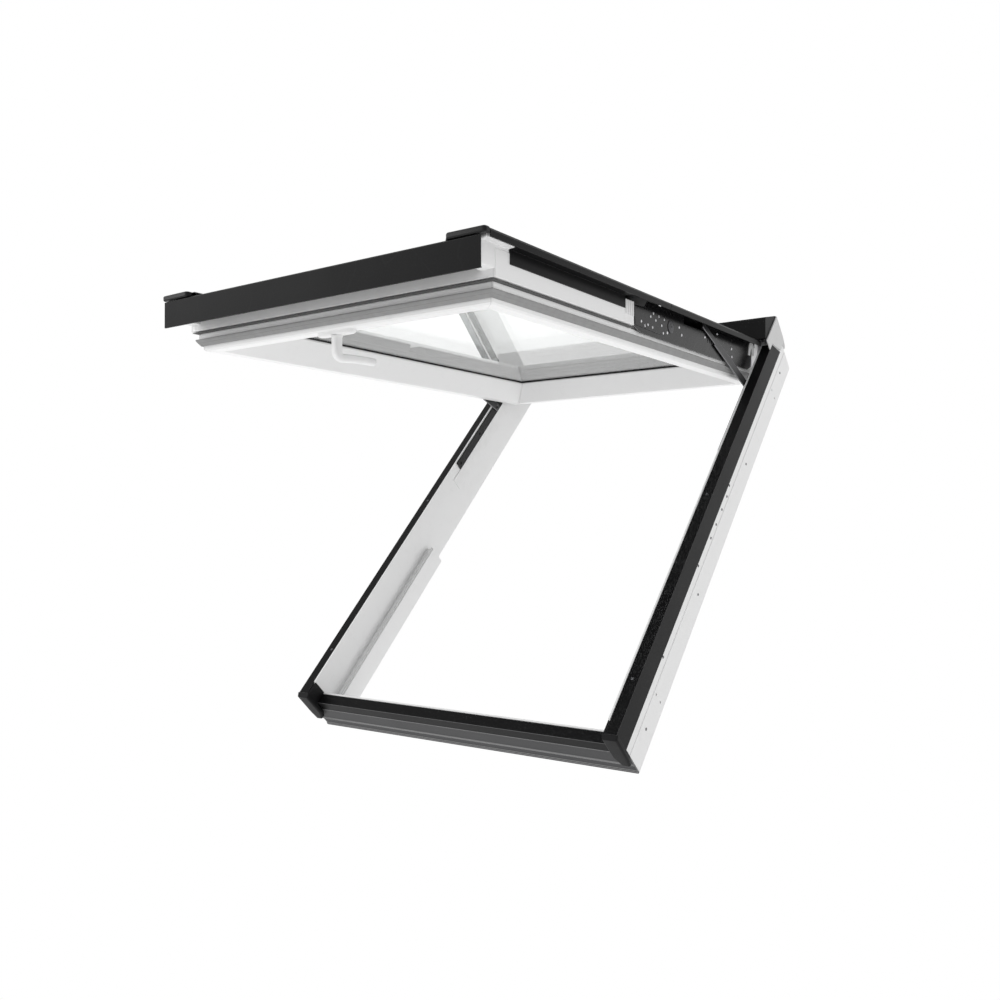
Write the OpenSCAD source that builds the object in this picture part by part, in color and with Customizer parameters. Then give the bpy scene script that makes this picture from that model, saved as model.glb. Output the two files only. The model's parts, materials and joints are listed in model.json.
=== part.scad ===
// Roof window, top-hung and pivoting, in white hollow plastic profiles with black metal covers.
// The frame lies flat with its room side on z = 0. The sill is at -Y and the head at +Y.
// The sash is drawn shut in the frame and then swung open about the head hinge.

/* [Overall] */
// Outer width of the frame
frame_w = 780; // [660:10:1140]
// Outer length of the frame, from sill to head
frame_l = 1180; // [1100:10:1400]
// Opening angle of the sash, as drawn
open_angle = 45; // [30:1:48]

/* [Frame profiles] */
// Height of the jambs and the head above the room side
jamb_h = 118; // [116:1:124]
// Thickness of the jambs across the frame
jamb_t = 26; // [24:1:30]
// Thickness of the head profile
head_t = 45; // [40:1:60]
// Height of the sill profile
sill_h = 80; // [72:1:86]
// Width of the inner step that the shut sash closes onto
ledge_w = 19; // [16:1:19]
// Height of the inner step
ledge_h = 46; // [40:1:46]
// Wall of the hollow plastic profiles
wall = 3; // [2.5:0.5:4]
// Wall of the steel tubes inside the profiles
steel_wall = 1.5; // [1.5:0.5:2.5]
// Room left round a steel tube inside its chamber
steel_gap = 1; // [0.5:0.5:2]
// Height of the small white lip along the inner edge of the jambs
lip_h = 3; // [2:0.5:4]
// Thickness of that lip
lip_t = 3.5; // [3:0.5:5]
// Where the inner steps of the jambs end, past the middle towards the sill
bead_end = 90; // [80:5:200]

/* [Frame cladding] */
// Thickness of the black sheet covers
sheet = 1.4; // [1:0.1:2]
// Height on the jamb's side where the black cover starts
cover_z = 72; // [60:1:80]
// Height of the grey face plate on the sill
face_h = 58; // [50:1:62]
// Thickness of the face plate
face_t = 4; // [3:0.5:6]
// Reach of the hood and of the sill's caps beyond the frame
overhang = 14; // [10:1:20]
// Height of the hood's crown
hood_z = 188; // [180:1:200]
// Height of the hood's front and back edges
hood_edge_z = 156; // [154:1:162]
// Front edge of the hood, in front of the hinge axis
hood_front = 17; // [10:1:18]
// Thickness of the hood's side cheeks
cheek_t = 3; // [2:0.5:5]

/* [Sash] */
// Gap from the jamb's inner face to the sash's room-side edge
sash_inset = 21; // [21:1:30]
// Gap between the sill's inner step and the shut sash
sill_gap = 5; // [4:1:8]
// Gap between the head profile and the shut sash
head_gap = 16; // [16:1:24]
// Height of the shut sash's room-side face above the frame's room side
sash_z = 38; // [36:1:38]
// Depth of the sash profiles
sash_d = 78; // [76:1:80]
// Width of the sash's flat room-side face
face_band = 26; // [20:1:30]
// Width of the sash profiles, from the room-side edge to the glass
sash_w = 60; // [54:1:70]
// Depth at which the glass lies on the sash
glass_n = 52; // [48:1:54]
// Width of the rebate that the glass lies on
rebate_w = 16; // [12:1:18]
// Thickness of a pane
pane_t = 4; // [3:1:6]
// Space between the panes
pane_gap = 16; // [12:1:16]
// Thickness of the rubber under the glass
pad_t = 2; // [1.5:0.5:3]
// Clearance round the glass in its rebate
glass_gap = 3; // [2:0.5:5]

/* [Sash cladding] */
// Reach of the bottom cover past the sash's room-side edge
cover_reach = 68; // [64:1:72]
// Reach of the side covers past the sash's room-side edge
side_reach = 36; // [30:1:40]
// Depth at which the covers' outer edges end
cover_n0 = 84; // [83.5:0.5:86]
// Depth of the covers' tops
cover_n1 = 99; // [96:1:100]
// Depth at which the bottom cover's front plate ends
front_n = 37; // [34:1:44]
// Reach of the white side trims past the sash's room-side edge
trim_reach = 17; // [15:1:18]
// Distance from the sash's top edge to the upper end of the side trims
trim_top = 637; // [620:1:660]
// Length of the ribbed blocks that end the side trims
trim_block = 36; // [30:1:44]
// Reach of the grey trim along the bottom rail
bottom_reach = 16; // [14:1:18]

/* [Hinges and arms] */
// Distance from the sash's top edge back to the head hinge's axis
hinge_back = 5; // [4:1:8]
// Height of the head hinge's axis above the shut sash's room side
hinge_n = 110; // [109:1:113]
// Radius of the hinge pins
hinge_pin_r = 6; // [5:0.5:7]
// Running clearance of pins in their eyes
run_gap = 0.05; // [0.02:0.01:0.09]
// Thickness of the arm plates
arm_t = 3; // [2.5:0.5:4]
// Thickness of the stays
stay_t = 3; // [2.5:0.5:4]
// Thickness of the rails on the jambs
rail_t = 3; // [2.5:0.5:4]
// Side gap between the stays and the rails
stay_gap = 0.5; // [0.4:0.1:1]
// Side gap between the arms and the stays
arm_gap = 1.5; // [1.2:0.1:2]
// Distance from the sash's top edge to the arms' lower ends
arm_end = 632; // [600:1:633]
// Distance from the sash's top edge to the centre pivot
pivot_l = 470; // [440:5:520]
// Depth of the centre pivot
pivot_n = 60; // [58:1:62]
// Radius of the centre pivot's pins
pivot_r = 8; // [6:0.5:9]
// Radius of the round joint between the fixed and the turning side covers
seam_r = 54; // [52:1:58]
// Width of that joint
seam_gap = 1; // [0.8:0.1:2]
// Where a stay's stud runs on the arm, with the sash open: distance from the sash's top
stud_l = 308; // [300:1:320]
// Depth of the arm's slot
slot_n = 86; // [84:1:88]
// Radius of the studs
stud_r = 4; // [3:0.5:5]
// Play of a stud across its slot
stud_play = 5; // [4.8:0.1:6]
// Travel of the studs in the slots
stud_travel = 92; // [90:1:110]
// Place of the stays' lower pins from the head's outer face
stay_y = 198; // [190:1:206]
// Height of the stays' lower pins
stay_z = 108; // [104:1:110]
// Radius of the stays' lower pins
stay_pin_r = 4; // [3:0.5:5]
// Width of the stays
stay_w = 20; // [16:1:22]

/* [Handle] */
// Length of the handle's neck
neck_l = 30; // [24:1:60]
// Length of the handle's lever
lever_l = 74; // [60:1:110]
// Thickness of the lever
lever_t = 15; // [12:1:18]
// Radius of the handle's spindle
spindle_r = 5; // [4:0.5:6]
// Turn of the lever from its locked place along the rail, as drawn
lever_turn = 78; // [0:1:90]
// Distance from the sash's bottom edge to the handle's spindle
handle_in = 14; // [13:1:18]

/* [Fixing holes] */
// Radius of the bracket screw holes in the jambs
fix_r = 2.5; // [2:0.25:3.5]
// Distance between the bracket holes along a jamb
fix_l = 900; // [700:10:960]
// Distance between the bracket holes across a jamb
fix_z = 24; // [16:1:30]
// Height of the bracket holes' middle
fix_mid = 30; // [26:1:34]

/* [Hidden] */
$fn = 48;
white = "#f4f4f2";
light_grey = "#c4c4c4";
sill_grey = "#4a4a4a";
black = "#222222";
rubber = "#5a5a5a";
steel = "#8c8f92";
glass_tint = [0.82, 0.9, 0.9, 0.35];

// Frame edges
out_x = frame_w / 2;
in_x = out_x - jamb_t;
head_y = frame_l / 2;
sill_y = -frame_l / 2;
head_in = head_y - head_t;
sill_in = sill_y + jamb_t;
ledge_x = in_x - ledge_w;
ledge_y = sill_in + ledge_w;
bead_y = -bead_end;
top_z = jamb_h + sheet;

// Sash edges, with the sash shut
edge_x = in_x - sash_inset;
edge_y0 = ledge_y + sill_gap;
edge_y1 = head_in - head_gap;
hinge_y = edge_y1 - hinge_back;
hinge_z = sash_z + hinge_n;
pane_z = sash_z + glass_n;
unit_t = 2 * pane_t + pane_gap;
glass_top = pane_z + unit_t;
rebate = sash_w - rebate_w;
pane_in = rebate + glass_gap;
lip_out = 13;
nose = 14;
trim_n0 = 36;
trim_n1 = 80;
trim_y = edge_y1 - trim_top;
trim_end_y = trim_y - trim_block;
pivot_y = edge_y1 - pivot_l;
pivot_z = sash_z + pivot_n;
cover_end_y = edge_y0 - cover_reach;
cover_side = edge_x + side_reach;
plate_z = sash_z + trim_n1 + sheet;

// Stack of rail, stay and arm from the jamb's inner face inwards
rail_x = in_x - rail_t;
stay_x = rail_x - stay_gap - stay_t;
arm_x = stay_x - arm_gap - arm_t;
pin_y = head_y - stay_y;

// Place of a point of the shut sash once the sash is open, as [y, z]
function swung(y, z) = let (dy = y - hinge_y, dz = z - hinge_z)
    [hinge_y + dy * cos(open_angle) + dz * sin(open_angle),
     hinge_z - dy * sin(open_angle) + dz * cos(open_angle)];
stud_at = swung(edge_y1 - stud_l, sash_z + slot_n);
stay_run = [stud_at[0] - pin_y, stud_at[1] - stay_z];
stay_l = norm(stay_run);
stay_lean = atan2(stay_run[1], stay_run[0]);

// Closed outline of a bent sheet: the line p and its copy at distance t
function unit(v) = v / norm(v);
function side(v) = [-v[1], v[0]];
function mitre(p, i) =
    let (a = i > 0 ? unit(p[i] - p[i - 1]) : unit(p[1] - p[0]),
         b = i < len(p) - 1 ? unit(p[i + 1] - p[i]) : a,
         m = unit(side(a) + side(b)))
    m / (m * side(a));
function band(p, t) = concat(p, [for (i = [len(p) - 1:-1:0]) p[i] + t * mitre(p, i)]);
function arc(c, r, a0, a1, n) = [for (i = [0:n]) c + r * [cos(a0 + (a1 - a0) * i / n),
    sin(a0 + (a1 - a0) * i / n)]];

module sided(s) mirror([s < 0 ? 1 : 0, 0, 0]) children();
module both() for (s = [-1, 1]) sided(s) children();
module opened() translate([0, hinge_y, hinge_z]) rotate([-open_angle, 0, 0])
    translate([0, -hinge_y, -hinge_z]) children();

// Profile pts = [across, z] along Y, profile [y, z] along X, and plan outline up Z
module along_y(pts, y0, y1) translate([0, y1, 0]) rotate([90, 0, 0])
    linear_extrude(y1 - y0) polygon(pts);
module along_x(pts, x0, x1) translate([x0, 0, 0]) rotate([90, 0, 90])
    linear_extrude(x1 - x0) polygon(pts);
module plan(pts, z0, z1) translate([0, 0, z0]) linear_extrude(z1 - z0) polygon(pts);
module rod_x(x0, x1, y, z, r) translate([x0, y, z]) rotate([0, 90, 0]) cylinder(h = x1 - x0, r = r);
module box(a, b) translate(a) cube(b - a);

// Mitred lengths of a ring on the sash's room-side edge: pts = [outwards, depth]
reach = 100;
module ring_stile(pts, s) sided(s) intersection() {
    along_y([for (p = pts) [edge_x + p[0], sash_z + p[1]]], edge_y0 - reach, edge_y1 + reach);
    plan([[edge_x - reach, edge_y0 + reach], [edge_x - reach, edge_y1 - reach],
        [edge_x + reach, edge_y1 + reach], [edge_x + reach, edge_y0 - reach]], 0, 300);
}
module ring_rail(pts, top) {
    y = top ? edge_y1 : edge_y0;
    d = top ? 1 : -1;
    intersection() {
        along_x([for (p = pts) [y + d * p[0], sash_z + p[1]]], -edge_x - reach, edge_x + reach);
        plan([[-edge_x + reach, y - d * reach], [edge_x - reach, y - d * reach],
            [edge_x + reach, y + d * reach], [-edge_x - reach, y + d * reach]], 0, 300);
    }
}
module ring(pts) {
    ring_stile(pts, 1);
    ring_stile(pts, -1);
    ring_rail(pts, true);
    ring_rail(pts, false);
}

// Frame ------------------------------------------------------------------

chamber_low = [wall, ledge_h - wall];
chamber_high = [ledge_h + wall, jamb_h - wall];

// Plan outlines of one jamb, the sill and the head, mitred from corner to corner, shrunk by w
function jamb_plan(w) = [[out_x - w, sill_y], [out_x - w, head_y], [in_x + w, head_in], [in_x + w, sill_in]];
function sill_plan(w) = [[-out_x, sill_y + w], [out_x, sill_y + w], [in_x, sill_in - w], [-in_x, sill_in - w]];
function head_plan(w) = [[-out_x, head_y - w], [out_x, head_y - w], [in_x, head_in + w], [-in_x, head_in + w]];

module fixing_holes() for (i = [-1, 1], j = [-1, 1])
    rod_x(out_x - wall - 4, out_x + 1, i * fix_l / 2, fix_mid + j * fix_z / 2, fix_r);

module jamb(s) color(white) sided(s) difference() {
    union() {
        plan(jamb_plan(0), 0, jamb_h);
        plan([[in_x + lip_t, sill_in], [in_x + lip_t, head_in], [in_x, head_in], [in_x, sill_in]],
            jamb_h - 1, jamb_h + lip_h);
    }
    plan(jamb_plan(wall), chamber_low[0], chamber_low[1]);
    plan(jamb_plan(wall), chamber_high[0], chamber_high[1]);
    fixing_holes();
    // Groove along the outer side
    along_y([[out_x + 1, 50], [out_x - 1.2, 51], [out_x - 1.2, 53], [out_x + 1, 54]],
        sill_y - 1, head_y + 1);
}
module jamb_left() jamb(-1);
module jamb_right() jamb(1);

module frame_sill() color(white) difference() {
    union() {
        plan(sill_plan(0), 0, sill_h);
        plan([[-in_x, sill_in], [in_x, sill_in], [ledge_x, ledge_y], [-ledge_x, ledge_y]], 0, ledge_h);
        plan([[-in_x, sill_in], [in_x, sill_in], [in_x, sill_in - lip_t], [-in_x, sill_in - lip_t]],
            sill_h - 1, sill_h + lip_h);
    }
    plan(sill_plan(wall), chamber_low[0], chamber_low[1]);
    plan(sill_plan(wall), chamber_high[0], sill_h - wall);
}

module frame_head() color(white) difference() {
    plan(head_plan(0), 0, jamb_h);
    plan(head_plan(wall), chamber_low[0], chamber_low[1]);
    plan(head_plan(wall), chamber_high[0], chamber_high[1]);
}

// Inner step along the lower part of a jamb, mitred onto the sill's step
module jamb_bead(s) color(white) sided(s) difference() {
    plan([[in_x, sill_in], [in_x, bead_y], [ledge_x, bead_y], [ledge_x, ledge_y]], 0, ledge_h);
    plan([[in_x - wall, sill_in], [in_x - wall, bead_y - wall], [ledge_x + wall, bead_y - wall],
        [ledge_x + wall, ledge_y]], wall, ledge_h - wall);
}
module jamb_bead_left() jamb_bead(-1);
module jamb_bead_right() jamb_bead(1);

module tube_y(x0, x1, z0, z1, y0, y1) difference() {
    box([x0, y0, z0], [x1, y1, z1]);
    box([x0 + steel_wall, y0 - 1, z0 + steel_wall], [x1 - steel_wall, y1 + 1, z1 - steel_wall]);
}
module tube_x(y0, y1, z0, z1, x0, x1) difference() {
    box([x0, y0, z0], [x1, y1, z1]);
    box([x0 - 1, y0 + steel_wall, z0 + steel_wall], [x1 + 1, y1 - steel_wall, z1 - steel_wall]);
}
steel_h = 26;
module frame_steel() color(steel) {
    z0 = chamber_high[0];
    both() tube_y(in_x + wall + steel_gap, out_x - wall - steel_gap, z0, z0 + steel_h,
        sill_in + 4, head_in - 4);
    tube_x(sill_y + wall + steel_gap, sill_in - wall - steel_gap, z0, z0 + steel_h, 4 - in_x, in_x - 4);
    tube_x(head_in + wall + steel_gap, head_y - wall - steel_gap, z0, z0 + steel_h, 4 - in_x, in_x - 4);
}

// Grey metal face along the sill, with a drip edge and a bead at a third of its height
module sill_face() color(sill_grey) along_x([
    [sill_y, 0], [sill_y - face_t, 0], [sill_y - face_t, 5], [sill_y - face_t + 2, 7],
    [sill_y - face_t + 2, 22], [sill_y - face_t + 0.5, 23], [sill_y - face_t + 0.5, 25],
    [sill_y - face_t + 2, 26], [sill_y - face_t + 2, face_h], [sill_y, face_h]], -out_x, out_x);

// Black sheet gutter over the sill
module sill_cover() color(black) intersection() {
    along_x(band([[sill_y, face_h], [sill_y, sill_h], [sill_in - lip_t, sill_h]], sheet), -out_x, out_x);
    plan([[-out_x, sill_y - 9], [out_x, sill_y - 9], [out_x, sill_y], [in_x, sill_in], [-in_x, sill_in],
        [-out_x, sill_y]], 0, jamb_h);
}

// Black caps: a rounded block on each sill corner, closing the end of the jamb above the sill
cap_in = 27;
cap_drop = 20;
module corner_caps() color(black) both() {
    hull() {
        for (x = [out_x - cap_in + 4, out_x]) translate([x, sill_y - overhang + 4, face_h + 2])
            cylinder(h = top_z - 4 - face_h - 2, r = 4, $fn = 32);
        for (x = [out_x - cap_in + 14, out_x - 3]) translate([x, sill_y - overhang + 4, face_h - cap_drop])
            cylinder(h = 1, r = 4, $fn = 32);
        box([out_x - cap_in, sill_y - face_t - 1, face_h], [out_x + 4, sill_y - face_t, top_z]);
        box([out_x - cap_in + 10, sill_y - face_t - 1, face_h - cap_drop], [out_x, sill_y - face_t, face_h]);
    }
    // Lug over the mitred end of the jamb
    plan([[out_x - cap_in, sill_y - face_t - 0.5], [out_x, sill_y - face_t - 0.5], [out_x, sill_y],
        [in_x, sill_in], [out_x - cap_in, sill_in]], sill_h + lip_h, jamb_h);
}

// Black angle sheet over each jamb: up the side, over the top to the white lip
cover_y0 = sill_y - face_t;
cover_y1 = head_y - 28;
module jamb_cover(s) color(black) sided(s) difference() {
    along_y(band([[out_x, cover_z], [out_x, jamb_h], [in_x + lip_t, jamb_h]], -sheet), cover_y0, cover_y1);
    // Slanting upper end, under the hood
    along_x([[cover_y1 - 34, top_z + 1], [cover_y1 + 1, cover_z - 1], [cover_y1 + 1, top_z + 1]],
        out_x - 0.5, out_x + 3);
    box([in_x - 1, cover_y1 - 34, jamb_h - 1], [out_x + 3, cover_y1 + 1, top_z + 1]);
}
module jamb_cover_left() jamb_cover(-1);
module jamb_cover_right() jamb_cover(1);

// Black sheet hood over the head and the hinges
hood_y0 = hinge_y - hood_front;
hood_y1 = head_y + overhang;
hood_pts = [[hood_y0, hood_edge_z - 4], [hood_y0, hood_edge_z - 1], [hood_y0 + 33, hood_z - 1],
    [hood_y0 + 39, hood_z], [hood_y1 - 3, hood_edge_z - 4], [hood_y1, hood_edge_z - 8], [hood_y1, jamb_h - 30]];
module hood() color(black) {
    along_x(band(hood_pts, -sheet), -out_x, out_x);
    // End plates
    both() along_x([for (i = [0:5]) i < 5 ? hood_pts[i] : [hood_y1, jamb_h + 24], [hood_y0, jamb_h + 24]],
        out_x - sheet, out_x);
}

// Light grey cheek below each end of the hood
module hood_cheek(s) color(light_grey) sided(s) along_x([
    [hood_y0, top_z + 1], [hood_y0, hood_edge_z - 7], [hood_y1 - 1, hood_edge_z - 7], [hood_y1 - 1, jamb_h - 30],
    [head_y + 8, 64], [head_y, 60], [head_y, 74], [cover_y1 + 3, 74], [cover_y1 - 32, top_z + 1]],
    out_x, out_x + cheek_t);
module hood_cheek_left() hood_cheek(-1);
module hood_cheek_right() hood_cheek(1);

// Soft bulb strip on the inner step of the sill and the lower jambs
seal_w = 5;
seal_h = 4;
module frame_gasket() color(rubber) {
    both() plan([[ledge_x + 2, ledge_y - 2], [ledge_x + 2, bead_y], [ledge_x + 2 + seal_w, bead_y],
        [ledge_x + 2 + seal_w, ledge_y - 2 - seal_w]], ledge_h, ledge_h + seal_h);
    plan([[-ledge_x - 2, ledge_y - 2], [ledge_x + 2, ledge_y - 2], [ledge_x + 2 + seal_w, ledge_y - 2 - seal_w],
        [-ledge_x - 2 - seal_w, ledge_y - 2 - seal_w]], ledge_h, ledge_h + seal_h);
}

// Black steel rail on each jamb, with the lower pin of the stay
rail_y0 = pin_y - 242;
rail_y1 = pin_y + 30;
rail_z0 = stay_z - 12;
module stay_rail(s) color(black) sided(s) {
    difference() {
        box([rail_x, rail_y0, rail_z0], [in_x, rail_y1, jamb_h]);
        for (y = [rail_y0 + 12, rail_y0 + 130]) rod_x(rail_x - 1, rail_x + 1.5, y, stay_z, 3.5);
    }
    rod_x(stay_x - 1, rail_x + 1, pin_y, stay_z, stay_pin_r);
}
module stay_rail_left() stay_rail(-1);
module stay_rail_right() stay_rail(1);

// White strips on the jambs below the rails
module rail_covers() color(white) both() difference() {
    box([in_x - 1.6, rail_y0 - 40, 62], [in_x, rail_y1 + 20, rail_z0 - 1]);
    for (y = [rail_y0 + 60, rail_y1 - 40]) rod_x(in_x - 2, in_x - 0.8, y, 80, 2.5);
}

// Steel bracket on each jamb with the head hinge's pin
bracket_x = in_x - 3;
module hinge_bracket(s) color(steel) sided(s) {
    difference() {
        along_x(concat([[hinge_y - 28, 96], [head_in - 1, 96], [head_in - 1, jamb_h + 6]],
            arc([hinge_y, hinge_z], 12, 0, 180, 12), [[hinge_y - 12, jamb_h + 6], [hinge_y - 28, jamb_h - 4]]),
            bracket_x, in_x);
        for (p = [[hinge_y - 18, 104], [hinge_y + 12, 104]])
            rod_x(bracket_x - 1, bracket_x + 1.5, p[0], p[1], 3.5);
    }
    rod_x(arm_x - 3, bracket_x + 1, hinge_y, hinge_z, hinge_pin_r);
    rod_x(arm_x - 5, arm_x - 1, hinge_y, hinge_z, hinge_pin_r + 3);
}
module hinge_bracket_left() hinge_bracket(-1);
module hinge_bracket_right() hinge_bracket(1);

// Small screws along the jambs' outer sides
screw_r = 3;
side_screws = [[525, 36], [196, 33], [89, 67], [62, 60], [22, 60], [-23, 60], [-63, 60], [-148, 67], [-191, 28],
    [-382, 67], [-520, 32]];
top_screws = [8, -474];
module frame_screws() color(steel) both() {
    for (p = side_screws) rod_x(out_x, out_x + 1, p[0], p[1], screw_r);
    for (y = top_screws) translate([out_x - 12, y, top_z]) cylinder(h = 0.8, r = screw_r);
}

// Keeper for the lock, on the sill's inner step
module lock_keeper() color(steel) difference() {
    box([-40, ledge_y - 16, ledge_h], [40, ledge_y - 13, ledge_h + 10]);
    box([-24, ledge_y - 17, ledge_h + 3], [24, ledge_y - 12, ledge_h + 8]);
}

// Arms -------------------------------------------------------------------

function at(l, n) = [edge_y1 - l, sash_z + n];
slot_l0 = stud_l - stud_r - 2;
slot_l1 = stud_l + stud_travel + stud_r;

// Steel plate beside the sash: it hangs on the head hinge and carries the centre pivot
module arm(s) color(black) opened() sided(s) difference() {
    along_x(concat(
        [at(arm_end, 36), at(arm_end, 78), at(pivot_l + 112, 80), at(pivot_l + 100, cover_n1 - 5),
         at(pivot_l + 40, cover_n1 - 5), at(pivot_l + 36, cover_n1 - sheet),
         at(44, cover_n1 - sheet), at(hinge_back + 22, hinge_n - 17)],
        // Eye, with the neck below the hood's front edge
        [for (t = [217:-15.1:-85]) [hinge_y, hinge_z] + 13 * [cos(t), sin(t)]],
        [at(hinge_back - 1, hinge_n - 24), at(24, 74), at(30, 36), at(52, 27), at(arm_end - 30, 28)]),
        arm_x, arm_x + arm_t);
    rod_x(arm_x - 1, arm_x + arm_t + 1, hinge_y, hinge_z, hinge_pin_r + run_gap);
    for (l = [slot_l0 + stud_play, slot_l1 - stud_play])
        rod_x(arm_x - 1, arm_x + arm_t + 1, edge_y1 - l, sash_z + slot_n, stud_r + stud_play);
    box([arm_x - 1, edge_y1 - slot_l1 + stud_play, sash_z + slot_n - stud_r - stud_play],
        [arm_x + arm_t + 1, edge_y1 - slot_l0 - stud_play, sash_z + slot_n + stud_r + stud_play]);
    rod_x(arm_x - 1, arm_x + arm_t + 1, pivot_y, pivot_z, pivot_r + run_gap);
    // Three upright slots
    for (l = [262, 272, 284]) box([arm_x - 1, edge_y1 - l - 2, sash_z + 56],
        [arm_x + arm_t + 1, edge_y1 - l + 2, sash_z + 74]);
}
module arm_left() arm(-1);
module arm_right() arm(1);

// Outline of the rolled side covers across the sash, as [across, z]
cover_in = sash_w - 8;
foot_n = glass_n + unit_t + pad_t;
function side_profile(foot) = [for (p = [[-cover_in, foot], [-cover_in + 5, cover_n1 - 2],
    [-cover_in + 9, cover_n1], [side_reach - 6, cover_n1], [side_reach - 2, cover_n1 - 1.5],
    [side_reach, cover_n1 - 5], [side_reach, cover_n0]]) [edge_x + p[0], sash_z + p[1]]];
module side_sheet(y0, y1, foot) along_y(band(side_profile(foot), -sheet), y0, y1);

// Fixed upper length of a side cover: it rides on the arm
arm_cover_top = 24;
module arm_cover(s) color(black) opened() sided(s) {
    difference() {
        side_sheet(pivot_y - seam_r, edge_y1 - arm_cover_top, foot_n + 2.5);
        difference() {
            box([0, pivot_y - seam_r - 1, sash_z], [out_x, pivot_y, sash_z + 200]);
            rod_x(-1, out_x + 1, pivot_y, pivot_z, seam_r - seam_gap / 2);
        }
        // Notch that the turning stile rises through
        box([0, pivot_y - seam_r - 1, sash_z], [arm_x - 1, pivot_y, sash_z + 200]);
        box([0, pivot_y - 1, sash_z], [edge_x - cover_in + 6, pivot_y + 14, sash_z + cover_n1 - 3]);
    }
}
module arm_cover_left() arm_cover(-1);
module arm_cover_right() arm_cover(1);

// Rivets and screws on the arms' outer faces
rivets = [[500, 70], [512, 56], [524, 72], [538, 62], [548, 74], [560, 66], [486, 46], [505, 42],
    [585, 44], [572, 48], [600, 50], [552, 46], [430, 66], [418, 52], [232, 84], [300, 66],
    [226, 60], [222, 48], [150, 62], [148, 44]];
module arm_rivets() color("#d8d8d8") opened() both() for (p = rivets)
    rod_x(arm_x + arm_t, arm_x + arm_t + 1.2, edge_y1 - p[0], sash_z + p[1], 3.2);

module pivot_pins() color(steel) opened() both() {
    rod_x(edge_x - 16, arm_x + arm_t + 1, pivot_y, pivot_z, pivot_r);
    rod_x(arm_x + arm_t, arm_x + arm_t + 2.5, pivot_y, pivot_z, pivot_r + 5);
}

// White plastic hooks beside the hinges
module arm_buffers() color(white) opened() both() difference() {
    along_x([at(16, 64), at(16, 88), at(22, 93), at(38, 93), at(44, 86), at(50, 62), at(40, 62),
        at(34, 80), at(28, 80), at(26, 64)], arm_x + arm_t, arm_x + arm_t + 3);
}

// Pressed plates of the centre pivot's brake
module brake_plates() color(black) opened() both() difference() {
    along_x([at(arm_end - 6, 40), at(arm_end - 4, 74), at(pivot_l + 98, 77), at(pivot_l + 26, 74),
        at(pivot_l + 22, 40), at(pivot_l + 60, 37)], arm_x + arm_t, arm_x + arm_t + 1.2);
    for (p = rivets) rod_x(arm_x, arm_x + arm_t + 3, edge_y1 - p[0], sash_z + p[1], 3.3);
}

// Stays ------------------------------------------------------------------

// Flat bar from the rail's pin to the arm's slot, with a riveted stud
module stay(s) color("#3c3c3c") sided(s) translate([0, pin_y, stay_z]) rotate([stay_lean, 0, 0]) {
    difference() {
        union() {
            box([stay_x, 0, -stay_w / 2], [stay_x + stay_t, stay_l, stay_w / 2]);
            rod_x(stay_x, stay_x + stay_t, 0, 0, stay_w / 2);
            rod_x(stay_x, stay_x + stay_t, stay_l, 0, stay_w / 2);
        }
        rod_x(stay_x - 1, stay_x + stay_t + 1, 0, 0, stay_pin_r + run_gap);
        // Top end narrowed to pass inside the cover
        for (d = [-1, 1]) box([stay_x - 1, stay_l - 60, d > 0 ? stay_w / 2 - 3.6 : -stay_w / 2 - 1],
            [stay_x + stay_t + 1, stay_l + 20, d > 0 ? stay_w / 2 + 1 : -stay_w / 2 + 3.6]);
    }
    rod_x(arm_x + 0.3, stay_x + stay_t, stay_l, 0, stud_r);
}
module stay_left() stay(-1);
module stay_right() stay(1);

// Sash -------------------------------------------------------------------

sash_pts = [[-face_band, 0], [-3, 0], [0, 3], [0, 9], [6, 21], [6, 32], [3, 34], [3, sash_d],
    [-rebate, sash_d], [-rebate, glass_n - pad_t], [-sash_w, glass_n - pad_t], [-sash_w, glass_n - pad_t - 3]];
room_pts = [[-28, 12], [-7, 12], [2, 24], [2, 44], [-44, 44], [-44, 36]];
back_pts = [[-rebate + wall, glass_n], [0, glass_n], [0, sash_d - wall], [-rebate + wall, sash_d - wall]];

module stile(s) color(white) opened() difference() {
    ring_stile(sash_pts, s);
    ring_stile(room_pts, s);
    ring_stile(back_pts, s);
    // Seat of the centre pivot's bush
    sided(s) rod_x(edge_x - 19, edge_x + 10, pivot_y, pivot_z, 16);
}
module sash_stile_left() stile(-1);
module sash_stile_right() stile(1);

module rail(top) difference() {
    ring_rail(sash_pts, top);
    ring_rail(room_pts, top);
    ring_rail(back_pts, top);
}
module sash_top_rail() color(white) opened() rail(true);
module sash_bottom_rail() color(white) opened() difference() {
    rail(false);
    // Pocket of the lock and hole of the handle's spindle
    translate([0, edge_y0 + handle_in, sash_z - 1]) cylinder(h = 20, r = spindle_r + 2);
}

bar_in = 27;
module sash_steel() color(steel) opened() {
    z0 = sash_z + 12;
    both() for (y = [[edge_y0 + 34, pivot_y - 24], [pivot_y + 24, edge_y1 - 34]])
        tube_y(edge_x - bar_in, edge_x - 8, z0, z0 + steel_h, y[0], y[1]);
    tube_x(edge_y1 - bar_in, edge_y1 - 8, z0, z0 + steel_h, 34 - edge_x, edge_x - 34);
    both() tube_x(edge_y0 + 8, edge_y0 + bar_in, z0, z0 + steel_h, 62, edge_x - 34);
}

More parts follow.
